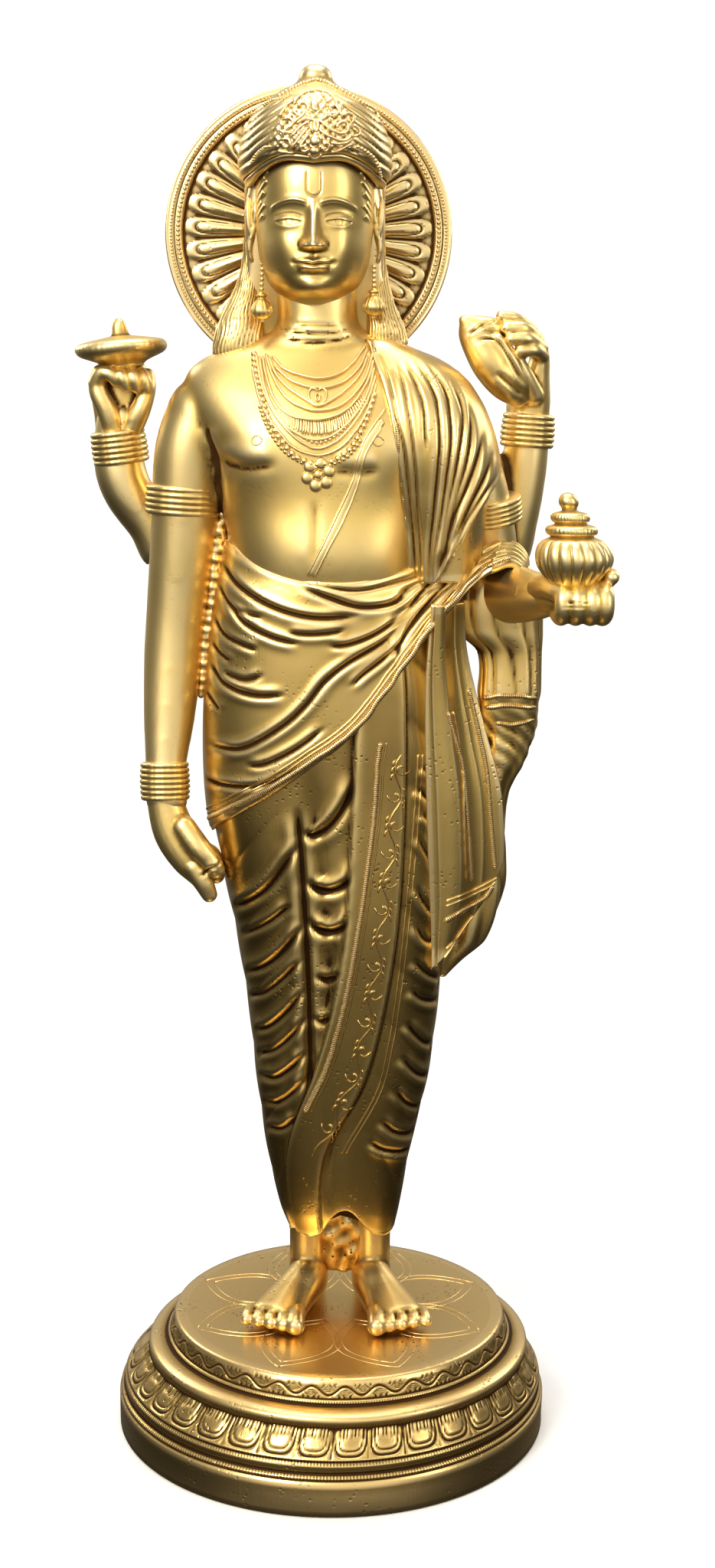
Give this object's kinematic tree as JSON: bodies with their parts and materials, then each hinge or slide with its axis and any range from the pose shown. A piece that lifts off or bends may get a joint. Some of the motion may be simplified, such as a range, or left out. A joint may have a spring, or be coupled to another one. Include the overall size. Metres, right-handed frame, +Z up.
{
  "type": "dhanvantari figure",
  "caption": "Standing four-armed physician god in cast brass, with a disc, conch and lidded pot in the hands, a petalled halo behind the head and a round stepped plinth.",
  "frame": {"origin": "on the underside of the plinth, below the axis of its top disc", "axes": "+Z up, the figure faces -Y, and its own left hand is towards +X"},
  "size_m": [0.3496, 0.296, 0.911],
  "materials": {
    "plinth_brass": "satin cast brass, burnished on the rims, brown grime in the engraved bands",
    "figure_brass": "polished cast brass, pale gold on the skin, darker olive brown in the folds of the lower cloth",
    "halo_brass": "bright cast brass with chased lotus petals, brown in the cuts between them"
  },
  "bodies": {
    "root": {"plinth": "plinth_brass", "figure": "figure_brass", "halo": "halo_brass"}
  },
  "joints": []
}
